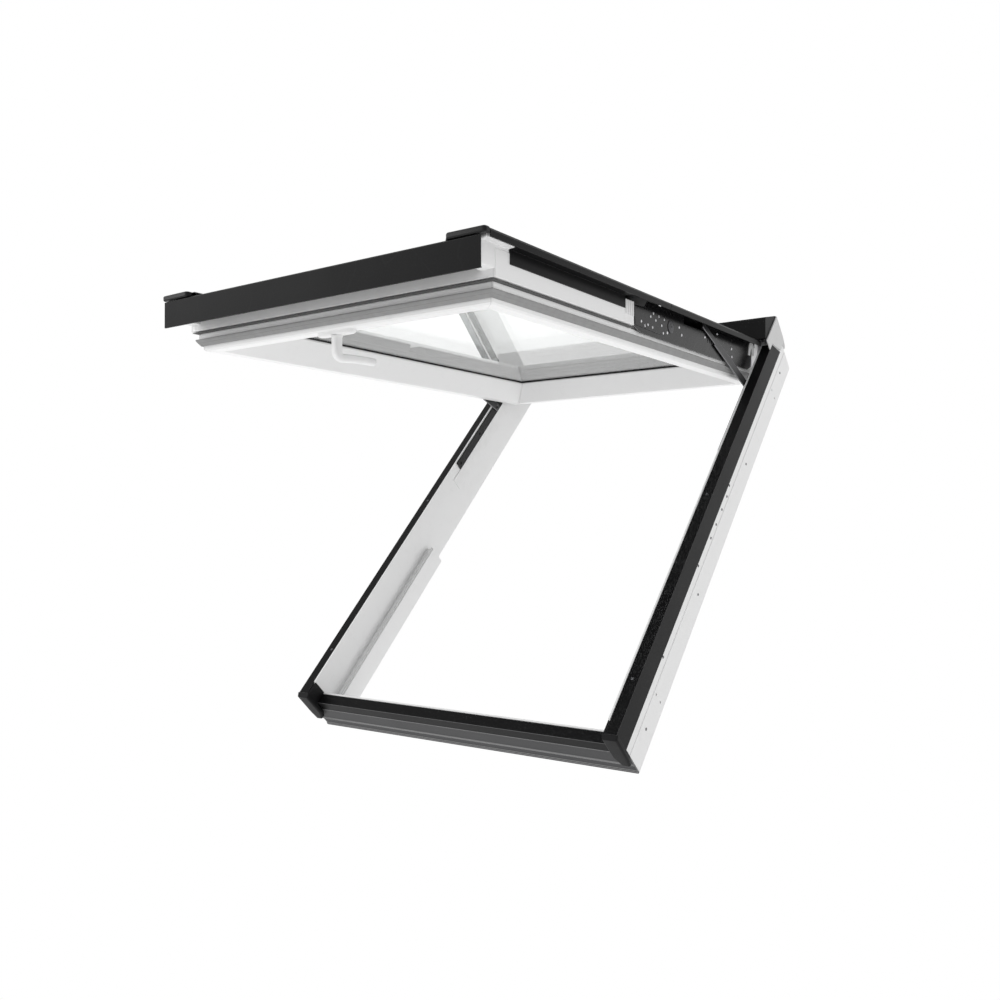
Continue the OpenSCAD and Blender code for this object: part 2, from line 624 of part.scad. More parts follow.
// Grey seal let into the chamfer of the sash, and the thin lip behind it
seal_pts = [[0, 9], [1.4, 8.4], [8.6, 20], [9, 21.6], [6, 21]];
lip_pts = [[6, 32], [lip_out, 33], [lip_out, 34.2], [3, 34]];
module inner_seal() color(rubber) opened() ring(seal_pts);
module lip_seal() color(rubber) opened() {
    intersection() {
        union() {
            ring_stile(lip_pts, 1);
            ring_stile(lip_pts, -1);
        }
        box([-out_x, edge_y0 - reach, sash_z], [out_x, trim_y, sash_z + 60]);
    }
    ring_rail(lip_pts, false);
    intersection() {
        ring_rail(lip_pts, true);
        box([-edge_x - 6, edge_y1, sash_z], [edge_x + 6, edge_y1 + 20, sash_z + 60]);
    }
}

pad_pts = [[-sash_w, glass_n - pad_t], [-sash_w - 1.5, glass_n - 1], [-sash_w - 1.5, glass_n],
    [-sash_w + 10, glass_n], [-sash_w + 10, glass_n - pad_t]];
module glass_pad_inner() color("#3a3a3a") opened() ring(pad_pts);
module glass_pad_outer() color("#3a3a3a") opened() ring([[-sash_w + 3, glass_n + unit_t],
    [-sash_w + 4, foot_n - sheet / 2], [-pane_in - 1, foot_n - sheet / 2], [-pane_in - 1, glass_n + unit_t]]);

module pane(z) box([pane_in - edge_x, edge_y0 + pane_in, z], [edge_x - pane_in, edge_y1 - pane_in, z + pane_t]);
module glass_inner() color(glass_tint) opened() pane(pane_z);
module glass_outer() color(glass_tint) opened() pane(pane_z + pane_t + pane_gap);
spacer_w = 7;
module glass_spacer() color("#2c2c2c") opened() ring([[-pane_in - spacer_w, glass_n + pane_t],
    [-pane_in - 0.5, glass_n + pane_t], [-pane_in - 0.5, glass_n + pane_t + pane_gap],
    [-pane_in - spacer_w, glass_n + pane_t + pane_gap]]);

// White trims along the lower half of the sash's sides
module side_channel() difference() {
    box([edge_x + 3, edge_y0 - bottom_reach, sash_z + trim_n0], [edge_x + trim_reach, trim_end_y, sash_z + trim_n1]);
    box([edge_x + 2, edge_y0 - bottom_reach + 3, sash_z + trim_n0 + 3],
        [edge_x + trim_reach - 3, trim_end_y + 1, sash_z + trim_n1 - 3]);
}
module side_trim(s) color(white) opened() sided(s) {
    side_channel();
    // Rib that carries the side cover
    box([edge_x + 9, flank_y, sash_z + trim_n1 - 1],
        [edge_x + 12, trim_end_y, sash_z + cover_n1 - sheet]);
}
module side_trim_left() side_trim(-1);
module side_trim_right() side_trim(1);

module trim_end_blocks() color(white) opened() both() difference() {
    union() {
        box([edge_x + 3, trim_end_y, sash_z + trim_n0], [edge_x + trim_reach, trim_y, sash_z + trim_n1]);
        for (i = [0:3]) box([edge_x + trim_reach - 1, trim_end_y + 3 + i * 9, sash_z + 52],
            [edge_x + trim_reach + 1.5, trim_end_y + 7 + i * 9, sash_z + trim_n1]);
    }
    box([edge_x + 2, trim_end_y - 1, sash_z + trim_n0 + 3],
        [edge_x + trim_reach - 3, trim_y - 3, sash_z + trim_n1 - 3]);
}

// Light grey hollow trim along the bottom rail
module bottom_trim() color(light_grey) opened() difference() {
    box([-edge_x - 3, edge_y0 - bottom_reach, sash_z + trim_n0], [edge_x + 3, edge_y0 - 3, sash_z + trim_n1]);
    box([-edge_x - 2, edge_y0 - bottom_reach + 3, sash_z + trim_n0 + 3], [edge_x + 2, edge_y0 - 2, sash_z + trim_n1 - 3]);
}

// White end pieces between the trims and the bottom cover
corner_n0 = 48;
module trim_corners() color(white) opened() both() {
    difference() {
        along_y([[edge_x - 10, sash_z + corner_n0], [edge_x + trim_reach - 1, sash_z + corner_n0],
            [edge_x + trim_reach, sash_z + corner_n0 + 3], [edge_x + trim_reach, sash_z + trim_n1],
            [edge_x - 10, sash_z + trim_n1]], cover_end_y + sheet, edge_y0 - bottom_reach);
        box([edge_x - 11, cover_end_y, sash_z + corner_n0 + 4],
            [edge_x + trim_reach - 3, edge_y0 - bottom_reach - 4, sash_z + trim_n1 - 3]);
    }
    // Rise that closes the side cover's lower end
    along_y([[edge_x + 4, sash_z + trim_n1], [edge_x + trim_reach, sash_z + trim_n1],
        [edge_x + trim_reach, sash_z + cover_n0 + 1], [cover_side - 8, sash_z + cover_n0 + 2],
        [cover_side - 8, sash_z + cover_n1 - 6], [cover_side - 10, sash_z + cover_n1 - sheet],
        [edge_x + 4, sash_z + cover_n1 - sheet]], cover_end_y + nose + 1, flank_y - 1);
}

// Black sheet over the bottom rail: back to the glass and down in front
rim_y = cover_end_y + 9;
front_back = 8;
module bottom_cover() color(black) opened() {
    front = [[cover_end_y, sash_z + front_n], [cover_end_y + 3, sash_z + front_n]];
    // Rolled rim along the front
    along_x(band(concat([[rim_y + 5, plate_z], [rim_y, plate_z], [rim_y - 3, plate_z + 6],
        [rim_y - 7, plate_z + 6], [cover_end_y, plate_z + 4]], front), sheet),
        -edge_x - trim_reach - 2, edge_x + trim_reach + 2);
    along_x(band([[edge_y0 + cover_in, sash_z + foot_n + sheet * 0.45], [edge_y0 + cover_in - 6, plate_z],
        [rim_y + 1, plate_z]], sheet), -edge_x + cover_in + 2, edge_x - cover_in - 2);
    // Flat sheet below the side covers, and the front plate over the full width
    box([-edge_x - 3, rim_y + 1, plate_z - sheet], [edge_x + 3, edge_y0 + cover_in - 8, plate_z]);
    along_x(band(concat([[cover_end_y, plate_z + 4]], front), sheet), front_back - cover_side, cover_side - front_back);
}
flank_n = 62;
flank_y = edge_y0 + 22;
flank_o = trim_reach + sheet;
module side_cover(s) color(black) opened() sided(s) difference() {
    union() {
        side_sheet(cover_end_y + nose, pivot_y, foot_n);
        // Return below the lip and flank down the trim
        along_y(band([for (p = [[side_reach, cover_n1 - 8], [side_reach, cover_n0 + 0.5],
            [flank_o, cover_n0 + 0.5], [flank_o, flank_n]]) [edge_x + p[0], sash_z + p[1]]], -sheet),
            flank_y, trim_end_y);
    }
    rod_x(-1, out_x + 1, pivot_y, pivot_z, seam_r + seam_gap / 2);
    // Foot cut back over the bottom cover
    box([0, cover_end_y - 1, sash_z], [edge_x, edge_y0 + cover_in + 2, plate_z + 0.6]);
}
module side_cover_left() side_cover(-1);
module side_cover_right() side_cover(1);

// Rounded black caps on the side covers' lower ends
nose_in = edge_x - cover_in + 13;
module cover_noses() color(black) opened() both() hull() {
    for (x = [nose_in + 7, cover_side - 6]) translate([x, cover_end_y + 6, plate_z + 7])
        cylinder(h = sash_z + cover_n1 - plate_z - 7, r = x < edge_x ? 7 : 6, $fn = 32);
    box([nose_in, cover_end_y + nose - 1, plate_z + 7], [cover_side, cover_end_y + nose, sash_z + cover_n1]);
}

// Black sheet over the top rail, between the side covers
module top_cover() color(black) opened() along_x(band([
    [edge_y1 - cover_in, sash_z + foot_n], [edge_y1 - cover_in + 5, sash_z + cover_n0 + 4],
    [edge_y1 - 4, sash_z + cover_n0 + 4], [edge_y1 + 5, sash_z + cover_n0], [edge_y1 + 5, sash_z + 60]], -sheet),
    -edge_x + cover_in + 2, edge_x - cover_in - 2);

module pivot_bushes() color(steel) opened() both() difference() {
    union() {
        rod_x(edge_x - 18.9, edge_x + 3.2, pivot_y, pivot_z, 15.9);
        rod_x(edge_x + 3.2, arm_x - 0.8, pivot_y, pivot_z, 19);
    }
    rod_x(edge_x - 20, arm_x + 1, pivot_y, pivot_z, pivot_r + run_gap);
}

// Lock case inside the bottom rail, turned by the handle's spindle
module lock_case() color(steel) opened() difference() {
    box([-55, edge_y0 + 8, sash_z + 12], [55, edge_y0 + 24, sash_z + 40]);
    translate([0, edge_y0 + handle_in, sash_z + 12]) cylinder(h = 20, r = spindle_r + 0.5);
}

base_t = 7;
base_x = 33;
neck_r = 9;
module handle_base() color(white) opened() difference() {
    hull() for (x = [-base_x, base_x]) translate([x, edge_y0 + handle_in, sash_z - base_t])
        cylinder(h = base_t, r = 10, $fn = 32);
    translate([0, edge_y0 + handle_in, sash_z - base_t - 1]) cylinder(h = base_t + 2, r = spindle_r + run_gap);
}

// Neck, lever and spindle, as one piece
module handle_lever() color(white) opened()
    translate([0, edge_y0 + handle_in, sash_z - base_t - 0.2]) rotate([0, 0, lever_turn]) {
        translate([0, 0, -neck_l]) cylinder(h = neck_l, r = neck_r);
        translate([0, 0, -1]) cylinder(h = base_t + 20, r = spindle_r);
        hull() for (d = [0, lever_l]) translate([d, 0, -neck_l - lever_t + 1])
            cylinder(h = lever_t, r = neck_r, $fn = 32);
    }

// Small white clips that hold the bottom cover on its trim
module cover_clips() color("#eeeeee") opened() for (i = [-2:2]) {
    x = i * edge_x / 2.6;
    along_x([[edge_y0 - bottom_reach, sash_z + 62], [edge_y0 - bottom_reach, sash_z + trim_n1],
        [edge_y0 - bottom_reach - 10, sash_z + trim_n1], [edge_y0 - bottom_reach - 2, sash_z + 66]], x, x + 4);
}

frame_sill();
frame_head();
jamb_left();
jamb_right();
jamb_bead_left();
jamb_bead_right();
frame_steel();
sill_face();
sill_cover();
corner_caps();
jamb_cover_left();
jamb_cover_right();
hood();
hood_cheek_left();
hood_cheek_right();
frame_gasket();
stay_rail_left();
stay_rail_right();
rail_covers();
hinge_bracket_left();
hinge_bracket_right();
frame_screws();
lock_keeper();
arm_left();
arm_right();
arm_cover_left();
arm_cover_right();
arm_rivets();
pivot_pins();
arm_buffers();
brake_plates();
stay_left();
stay_right();
sash_bottom_rail();
sash_top_rail();
sash_stile_left();
sash_stile_right();
sash_steel();
inner_seal();
lip_seal();
glass_pad_inner();
glass_pad_outer();
glass_inner();
glass_outer();
glass_spacer();
side_trim_left();
side_trim_right();
trim_end_blocks();
bottom_trim();
trim_corners();
bottom_cover();
side_cover_left();
side_cover_right();
cover_noses();
top_cover();
pivot_bushes();
lock_case();
handle_base();
handle_lever();
cover_clips();
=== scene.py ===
import json
import math

import bmesh
import bpy
import numpy as np
from mathutils import Matrix, Vector


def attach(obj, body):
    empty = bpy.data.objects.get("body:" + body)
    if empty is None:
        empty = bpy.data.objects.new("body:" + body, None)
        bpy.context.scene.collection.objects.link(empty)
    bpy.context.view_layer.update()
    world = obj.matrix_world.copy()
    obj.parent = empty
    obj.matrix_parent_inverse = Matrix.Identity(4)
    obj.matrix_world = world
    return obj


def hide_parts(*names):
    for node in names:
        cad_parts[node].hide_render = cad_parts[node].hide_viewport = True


bl_info = {
    "name": "Roof window",
    "version": (1, 0, 0),
    "blender": (4, 5, 0),
    "location": "View3D > Sidebar > Roof window",
    "description": "Top-hung roof window in white profiles with black covers",
    "category": "Object",
}

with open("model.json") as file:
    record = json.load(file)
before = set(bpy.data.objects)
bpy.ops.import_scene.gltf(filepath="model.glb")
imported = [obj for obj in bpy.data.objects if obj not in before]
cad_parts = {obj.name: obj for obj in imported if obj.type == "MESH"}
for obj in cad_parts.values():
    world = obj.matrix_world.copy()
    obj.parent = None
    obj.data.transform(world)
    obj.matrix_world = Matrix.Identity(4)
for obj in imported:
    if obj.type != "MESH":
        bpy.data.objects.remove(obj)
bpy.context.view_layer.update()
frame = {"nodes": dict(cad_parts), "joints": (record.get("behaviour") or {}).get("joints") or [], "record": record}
JOINTS = {j["name"]: j for j in frame["joints"]}
HINGE = np.array(JOINTS["head_hinge"]["pos_m"])
OPEN = math.radians(45)
BODY = {n: b for b, ns in frame["record"]["behaviour"]["bodies"].items() for n in ns}


# Places ------------------------------------------------------------------

def swung(points):
    """Place of points of the shut sash once it is open: a turn by minus OPEN about the head hinge."""
    p = np.asarray(points, float)
    y, z = p[..., 1] - HINGE[1], p[..., 2] - HINGE[2]
    c, s = math.cos(OPEN), math.sin(OPEN)
    return np.stack([p[..., 0], HINGE[1] + y * c + z * s, HINGE[2] - y * s + z * c], -1)


def shut(points):
    """The inverse turn: places on the shut sash of points of the open one."""
    p = np.asarray(points, float)
    y, z = p[..., 1] - HINGE[1], p[..., 2] - HINGE[2]
    c, s = math.cos(OPEN), math.sin(OPEN)
    return np.stack([p[..., 0], HINGE[1] + y * c - z * s, HINGE[2] + y * s + z * c], -1)


def corners(node, turned=False):
    """Lowest and highest corner of a packed node, in the shut sash's directions if turned."""
    o = frame["nodes"][node]
    p = np.zeros(len(o.data.vertices) * 3)
    o.data.vertices.foreach_get("co", p)
    p = p.reshape(-1, 3)
    p = shut(p) if turned else p
    return p.min(0), p.max(0)


def lumps(node, turned=False):
    """Lowest and highest corner of each separate solid of a packed node."""
    bm = bmesh.new()
    bm.from_mesh(frame["nodes"][node].data)
    bmesh.ops.remove_doubles(bm, verts=bm.verts, dist=MERGE)
    seen, found = set(), []
    for v in bm.verts:
        if v in seen:
            continue
        stack, group = [v], []
        seen.add(v)
        while stack:
            w = stack.pop()
            group.append(w.co[:])
            for e in w.link_edges:
                u = e.other_vert(w)
                if u not in seen:
                    seen.add(u)
                    stack.append(u)
        p = np.array(group)
        p = shut(p) if turned else p
        found.append((p.min(0), p.max(0)))
    bm.free()
    return found


SASH = corners("sash_stile_right", True)
RAIL_LIP, STILE_LIP = 0.003, 0.006  # how far the profiles' outer lips pass the room-side edge
EDGE_Y = (corners("sash_bottom_rail", True)[0][1] + RAIL_LIP,
          corners("sash_top_rail", True)[1][1] - RAIL_LIP)
EDGE_X = SASH[1][0] - STILE_LIP
ROOM_N = SASH[0][2]
MERGE = 1e-5  # distance within which a packed mesh's points are one


# Shader wiring -----------------------------------------------------------

class Wire:
    """A socket whose arithmetic adds Math nodes."""

    def __init__(self, tree, socket):
        self.tree, self.socket = tree, socket

    def math(self, operation, *others, first=None):
        n = self.tree.nodes.new("ShaderNodeMath")
        n.operation = operation
        for i, value in enumerate(([first] if first is not None else []) + [self] + list(others)):
            if isinstance(value, Wire):
                self.tree.links.new(value.socket, n.inputs[i])
            else:
                n.inputs[i].default_value = value
        return Wire(self.tree, n.outputs[0])

    def __add__(self, o):
        return self.math("ADD", o)

    def __sub__(self, o):
        return self.math("SUBTRACT", o)

    def __mul__(self, o):
        return self.math("MULTIPLY", o)

    def __truediv__(self, o):
        return self.math("DIVIDE", o)

    def __rsub__(self, o):
        return self.math("SUBTRACT", first=o)

    __radd__, __rmul__ = __add__, __mul__

    def size(self):
        return self.math("ABSOLUTE")

    def within(self, centre, width):
        """1 where the value is closer to centre than width, fading over the last third."""
        return ((width - (self - centre).size()) / (width / 3)).math("MAXIMUM", 0.0).math("MINIMUM", 1.0)

    def repeats(self, step):
        """Distance from the middle of the repeat of length step, from 0 to step / 2."""
        return (self / step).math("FRACT").math("SUBTRACT", 0.5).size() * step


class Finish:
    """A material under construction on one Principled shader."""

    def __init__(self, name, **fixed):
        self.material = bpy.data.materials.new(name)
        self.material.use_nodes = True
        self.tree = self.material.node_tree
        self.shader = self.tree.nodes["Principled BSDF"]
        for key, value in fixed.items():
            self.shader.inputs[key.replace("_", " ")].default_value = value

    def node(self, kind, settings=None, values=None):
        """Adds a node of that type: its settings first, then the values or links of its sockets."""
        n = self.tree.nodes.new(kind)
        for key, value in (settings or {}).items():
            setattr(n, key, value)
        for key, value in (values or {}).items():
            if isinstance(value, Wire):
                self.tree.links.new(value.socket, n.inputs[key])
            else:
                n.inputs[key].default_value = value
        return n

    def out(self, node, key=0):
        return Wire(self.tree, node.outputs[key])

    def place(self, turned=False, stretch=(1, 1, 1)):
        """Object coordinates, turned back to the shut sash's directions if asked, then stretched."""
        here = self.out(self.node("ShaderNodeTexCoord"), "Object")
        if turned:
            origin = shut(np.zeros(3))
            here = self.out(self.node("ShaderNodeMapping", None, {
                "Vector": here, "Rotation": (OPEN, 0, 0), "Location": tuple(origin)}))
        if stretch != (1, 1, 1):
            here = self.out(self.node("ShaderNodeMapping", None, {"Vector": here, "Scale": stretch}))
        return here

    def parts(self, vector):
        n = self.node("ShaderNodeSeparateXYZ", None, {0: vector})
        return [self.out(n, i) for i in range(3)]

    def noise(self, place, scale, detail=3.0, rough=0.55):
        return self.out(self.node("ShaderNodeTexNoise", None, {
            "Vector": place, "Scale": scale, "Detail": detail, "Roughness": rough}))

    def specks(self, place, scale):
        return self.out(self.node("ShaderNodeTexVoronoi", None, {"Vector": place, "Scale": scale}))

    def blend(self, factor, a, b):
        return self.out(self.node("ShaderNodeMix", {"data_type": "RGBA"}, {0: factor, 6: a, 7: b}), 2)

    def bump(self, height, depth, strength=1.0, under=None):
        values = {"Height": height, "Distance": depth, "Strength": strength}
        if under is not None:
            values["Normal"] = under
        return self.out(self.node("ShaderNodeBump", None, values))

    def feed(self, **wires):
        for key, wire in wires.items():
            self.tree.links.new(wire.socket, self.shader.inputs[key.replace("_", " ")])
        return self.material


def grey(v):
    return (v, v, v, 1.0)


def extruded_white(name, shade, turned, along, seams):
    """White hollow profile: satin, faint draw lines along its length, fine grain and welded mitres."""
    m = Finish(name, Specular_IOR_Level=0.5)
    weld = 0.0007
    flat = m.place(turned)
    x, y, z = m.parts(flat)
    stretch = (3, 400, 400) if along == "x" else (400, 3, 400)
    draw = m.noise(m.place(turned, stretch), 1.0, 2.0)
    grain = m.noise(flat, 1500.0, 2.0)
    cloud = m.noise(flat, 5.0, 4.0)
    dust = m.noise(flat, 42.0, 5.0, 0.7)
    grime = (dust - 0.56).math("MAXIMUM", 0.0) * 2.2 * cloud
    height = draw * 0.6 + grain * 0.4
    colour = m.blend(grime, grey(shade), grey(shade * 0.8))
    rough = 0.3 + draw * 0.1 + grime * 0.5
    if seams:
        # Weld line where mitred lengths meet
        side = x.size() - EDGE_X
        line = (side + y - EDGE_Y[0]).within(0.0, weld).math(
            "MAXIMUM", (side - y + EDGE_Y[1]).within(0.0, weld))
        height = height - line * 4.0
        colour = m.blend(line * 0.5, colour, grey(shade * 0.55))
    return m.feed(Base_Color=colour, Roughness=rough, Normal=m.bump(height, 0.00004))


def moulded(name, colour, turned=False, gloss=0.38, grain_size=1100.0, depth=0.00006, specular=0.5):
    """Injection-moulded plastic: fine spark-eroded grain with soft patches of wear."""
    m = Finish(name, Specular_IOR_Level=specular)
    flat = m.place(turned)
    grain = m.specks(flat, grain_size)
    cloud = m.noise(flat, 30.0, 4.0)
    shade = m.blend(cloud, (*[c * 0.9 for c in colour], 1), (*[min(c * 1.08, 1) for c in colour], 1))
    return m.feed(Base_Color=shade, Roughness=gloss + cloud * 0.12, Normal=m.bump(grain, depth))


def coated_sheet(name, colour, turned=False, gloss=0.3, specular=0.07, dust_level=0.08):
    """Powder-coated sheet: orange-peel skin, fine dust and a few hair scratches."""
    m = Finish(name, Specular_IOR_Level=specular)
    flat = m.place(turned)
    peel = m.noise(flat, 620.0, 2.0)
    dent = m.noise(m.place(turned, (1, 0.35, 1)), 7.0, 2.0)
    dust = m.noise(flat, 260.0, 6.0, 0.75)
    cloud = m.noise(flat, 9.0, 3.0)
    veil = (dust - 0.5).math("MAXIMUM", 0.0) * dust_level * 6.0 * cloud
    hair = m.noise(m.place(turned, (9, 1400, 9)), 1.0, 1.0)
    scratch = hair.within(0.53, 0.006) * cloud
    tone = m.blend(veil + scratch * 0.04, (*colour, 1), (*[c * 4 + 0.06 for c in colour], 1))
    rough = gloss + peel * 0.06 + veil * 1.2 + cloud * 0.1
    skin = m.bump(peel, 0.00005, 1.0, m.bump(dent, 0.0008, 0.4))
    return m.feed(Base_Color=tone, Roughness=rough, Normal=skin)


def plated_steel(name, colour, gloss=0.32, turned=False):
    """Zinc-plated steel: rolled streaks, small spangles and cloudy shine."""
    m = Finish(name, Metallic=1.0)
    flat = m.place(turned)
    spangle = m.specks(flat, 260.0)
    streak = m.noise(m.place(turned, (900, 40, 900)), 1.0, 2.0)
    tone = m.blend(spangle * 0.8, (*[c * 0.82 for c in colour], 1), (*colour, 1))
    return m.feed(Base_Color=tone, Roughness=gloss + streak * 0.18, Normal=m.bump(streak, 0.00003))


def painted_steel(name, colour, gloss=0.24, specular=0.3, turned=False):
    """Dip-coated steel plate: glossy black over rolled metal, with soft flow marks."""
    m = Finish(name, Specular_IOR_Level=specular)
    flat = m.place(turned)
    flow = m.noise(m.place(turned, (60, 18, 60)), 1.0, 2.0)
    fine = m.noise(flat, 900.0, 2.0)
    rub = (m.noise(flat, 140.0, 5.0, 0.7) - 0.6).math("MAXIMUM", 0.0) * 1.4
    tone = m.blend(rub, (*colour, 1), grey(0.16))
    return m.feed(Base_Color=tone, Roughness=gloss + fine * 0.08 + rub * 0.6,
                  Normal=m.bump(flow, 0.0005, 0.6, m.bump(fine, 0.00003)))


def gasket_rubber(name, shade, turned=False):
    """Matt extruded rubber: fine lengthwise lines and a slight bloom."""
    m = Finish(name, Specular_IOR_Level=0.3)
    flat = m.place(turned)
    bloom = m.noise(flat, 60.0, 4.0)
    pore = m.noise(flat, 2200.0, 2.0)
    tone = m.blend(bloom, grey(shade * 0.82), grey(shade * 1.15))
    return m.feed(Base_Color=tone, Roughness=0.58 + bloom * 0.2, Normal=m.bump(pore, 0.00008))


def pane_glass(name):
    """Clear float glass with a faint green body and slight smears."""
    m = Finish(name, IOR=1.45, Transmission_Weight=1.0, Specular_IOR_Level=0.5)
    flat = m.place(True)
    smear = m.noise(flat, 7.0, 5.0, 0.6)
    tone = m.blend(smear, (0.972, 0.988, 0.983, 1), (0.992, 1.0, 0.997, 1))
    return m.feed(Base_Color=tone, Roughness=(smear - 0.55).math("MAXIMUM", 0.0) * 0.08)


def spacer_bar(name):
    """Dark spacer with a row of drying holes every 8 mm."""
    m = Finish(name, Metallic=0.2)
    pitch, radius = 0.008, 0.0012
    flat = m.place(True)
    x, y, z = m.parts(flat)
    hole = x.repeats(pitch).within(0.0, radius) * y.repeats(pitch).within(0.0, radius)
    cloud = m.noise(flat, 200.0, 3.0)
    tone = m.blend(hole, grey(0.035), grey(0.005))
    return m.feed(Base_Color=tone, Roughness=0.4 + cloud * 0.15, Normal=m.bump(hole, 0.0003))


FINISHES = {}


def finish(name):
    return FINISHES[name]


def mix_finishes(look):
    """All finishes, from the colours that the panel offers."""
    w, b = look.white, tuple(look.black)
    FINISHES.update({
        "white_x": extruded_white("white_profile_across", w, False, "x", False),
        "white_y": extruded_white("white_profile_along", w, False, "y", False),
        "sash_x": extruded_white("white_sash_across", w, True, "x", True),
        "sash_y": extruded_white("white_sash_along", w, True, "y", True),
        "white_moulding": moulded("white_moulding", (w, w, w)),
        "sash_moulding": moulded("white_sash_moulding", (w, w, w), True),
        "grey_moulding": moulded("grey_moulding", (0.86, 0.86, 0.86), True),
        "black_sheet": coated_sheet("black_sheet", b),
        "sash_sheet": coated_sheet("black_sash_sheet", b, True, 0.26),
        # Lighter finishes for the rounded fold and edge strips: painted highlights along the folds and edges of
        # the covers, arms and stays
        "sheet_fold_highlight": coated_sheet("sheet_edge_painted_highlight", (0.10, 0.10, 0.102), False, 0.34, 0.3),
        "sash_fold_highlight": coated_sheet("sash_sheet_edge_painted_highlight", (0.05, 0.05, 0.052), True, 0.34, 0.3),
        "face_fold_highlight": coated_sheet("grey_sheet_edge_painted_highlight", (0.22, 0.22, 0.222), False, 0.4, 0.3),
        "steel_edge_highlight": plated_steel("steel_edge_painted_highlight", (0.34, 0.34, 0.35), 0.3),
        "grey_sheet": coated_sheet("grey_sheet", (0.052, 0.052, 0.054), False, 0.42, 0.2, 0.1),
        "cheek_sheet": coated_sheet("light_grey_sheet", (0.62, 0.62, 0.62), False, 0.4, 0.4, 0.04),
        "black_moulding": moulded("black_moulding", (0.008, 0.008, 0.0085), False, 0.4, 900.0, 0.0001, 0.12),
        "sash_black_moulding": moulded("black_sash_moulding", (0.008, 0.008, 0.0085), True,
                                       0.34, 900.0, 0.00008, 0.25),
        "black_steel": painted_steel("black_steel", (0.006, 0.006, 0.0065), 0.2, 0.2),
        "stay_steel": painted_steel("stay_steel", (0.028, 0.028, 0.030), 0.34, 0.3),
        "hub_steel": plated_steel("hub_steel", (0.10, 0.10, 0.105), 0.35),
        "bright_steel": plated_steel("bright_steel", (0.72, 0.72, 0.74)),
        "screw_steel": plated_steel("screw_steel", (0.16, 0.16, 0.17), 0.4),
        "seal": gasket_rubber("grey_seal", 0.30, True),
        "seal_light": gasket_rubber("light_grey_seal", 0.10, True),
        "frame_seal": gasket_rubber("frame_seal", 0.72),
        "dark_seal": gasket_rubber("dark_seal", 0.018, True),
        "glass": pane_glass("pane_glass"),
        "spacer": spacer_bar("spacer_bar"),
    })


# Pieces ------------------------------------------------------------------

def put(obj, node):
    """Lets a piece ride on its node's body, stand for the node and take the node's slot."""
    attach(obj, BODY[node])
    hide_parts(node)
    return obj


def solid(name, blocks, material, crease=35):
    """One mesh object from blocks of (points (k, 3), faces), doubles merged and normals outwards."""
    verts, faces, base = [], [], 0
    for points, quads in blocks:
        verts.append(points)
        faces += [[i + base for i in f] for f in quads]
        base += len(points)
    mesh = bpy.data.meshes.new(name)
    mesh.from_pydata(np.concatenate(verts).tolist(), [], faces)
    bm = bmesh.new()
    bm.from_mesh(mesh)
    bmesh.ops.remove_doubles(bm, verts=bm.verts, dist=2e-6)
    bmesh.ops.dissolve_degenerate(bm, edges=bm.edges, dist=1e-6)
    bmesh.ops.recalc_face_normals(bm, faces=bm.faces)
    bm.to_mesh(mesh)
    bm.free()
    mesh.shade_smooth()
    mesh.set_sharp_from_angle(angle=math.radians(crease))
    mesh.materials.append(material)
    obj = bpy.data.objects.new(name, mesh)
    bpy.context.scene.collection.objects.link(obj)
    return obj


def grid(points, wrap_u=False, wrap_v=False, caps=False):
    """Points (nu, nv, 3) on two parameters as quads; caps closes the two ends of u with one face each."""
    nu, nv = points.shape[:2]
    index = np.arange(nu * nv).reshape(nu, nv)
    u = index if wrap_u else index[:-1]
    u2 = np.roll(index, -1, 0) if wrap_u else index[1:]
    if wrap_v:
        v, v2 = np.roll(u, -1, 1), np.roll(u2, -1, 1)
    else:
        v, v2, u, u2 = u[:, 1:], u2[:, 1:], u[:, :-1], u2[:, :-1]
    quads = np.stack([u, u2, v2, v], -1).reshape(-1, 4).tolist()
    if caps:
        quads += [index[0][::-1].tolist(), index[-1].tolist()]
    return points.reshape(-1, 3), quads


def softened(node, width, material, segments=2, limit=28, rim=None):
    """A copy of a packed node, its doubles merged, with every fold and edge rounded by width.
    The rounded strips take the finish named rim, where one is given."""
    mesh = frame["nodes"][node].data.copy()
    bm = bmesh.new()
    bm.from_mesh(mesh)
    bmesh.ops.remove_doubles(bm, verts=bm.verts, dist=MERGE)
    bmesh.ops.dissolve_limit(bm, angle_limit=math.radians(0.8), verts=bm.verts, edges=bm.edges)
    for f in bm.faces:
        f.smooth = True
        f.material_index = 0
    bm.to_mesh(mesh)
    bm.free()
    mesh.materials.clear()
    mesh.materials.append(material)
    if "custom_normal" in mesh.attributes:
        mesh.attributes.remove(mesh.attributes["custom_normal"])
    mesh.set_sharp_from_angle(angle=math.radians(limit))
    obj = bpy.data.objects.new(node + "_piece", mesh)
    bpy.context.scene.collection.objects.link(obj)
    edge = obj.modifiers.new("edges", "BEVEL")
    edge.limit_method, edge.angle_limit = "ANGLE", math.radians(limit)
    edge.width, edge.segments, edge.use_clamp_overlap = width, segments, True
    edge.harden_normals = True
    if rim:
        # The rim finish on the rounded strips is a painted highlight along the folds and edges
        mesh.materials.append(finish(rim))
        edge.material = 1
    return put(obj, node)


def ring_seal(name, profile, node, material):
    """A closed section carried round the shut sash's edge with mitred corners, then swung open.
    A corner's point is the sash corner moved by the section's first number along its outward diagonal
    (one along X and one along Y), at the height of its second number."""
    p = np.asarray(profile)
    dx = np.array([1, 1, -1, -1])[:, None]
    dy = np.array([-1, 1, 1, -1])[:, None]
    y = np.where(dy < 0, EDGE_Y[0], EDGE_Y[1])
    z = np.broadcast_to(ROOM_N + p[:, 1], (4, len(p)))
    points = np.stack([dx * (EDGE_X + p[:, 0]), y + dy * p[:, 0], z], -1)
    return put(solid(name, [grid(swung(points), True, True)], material), node)


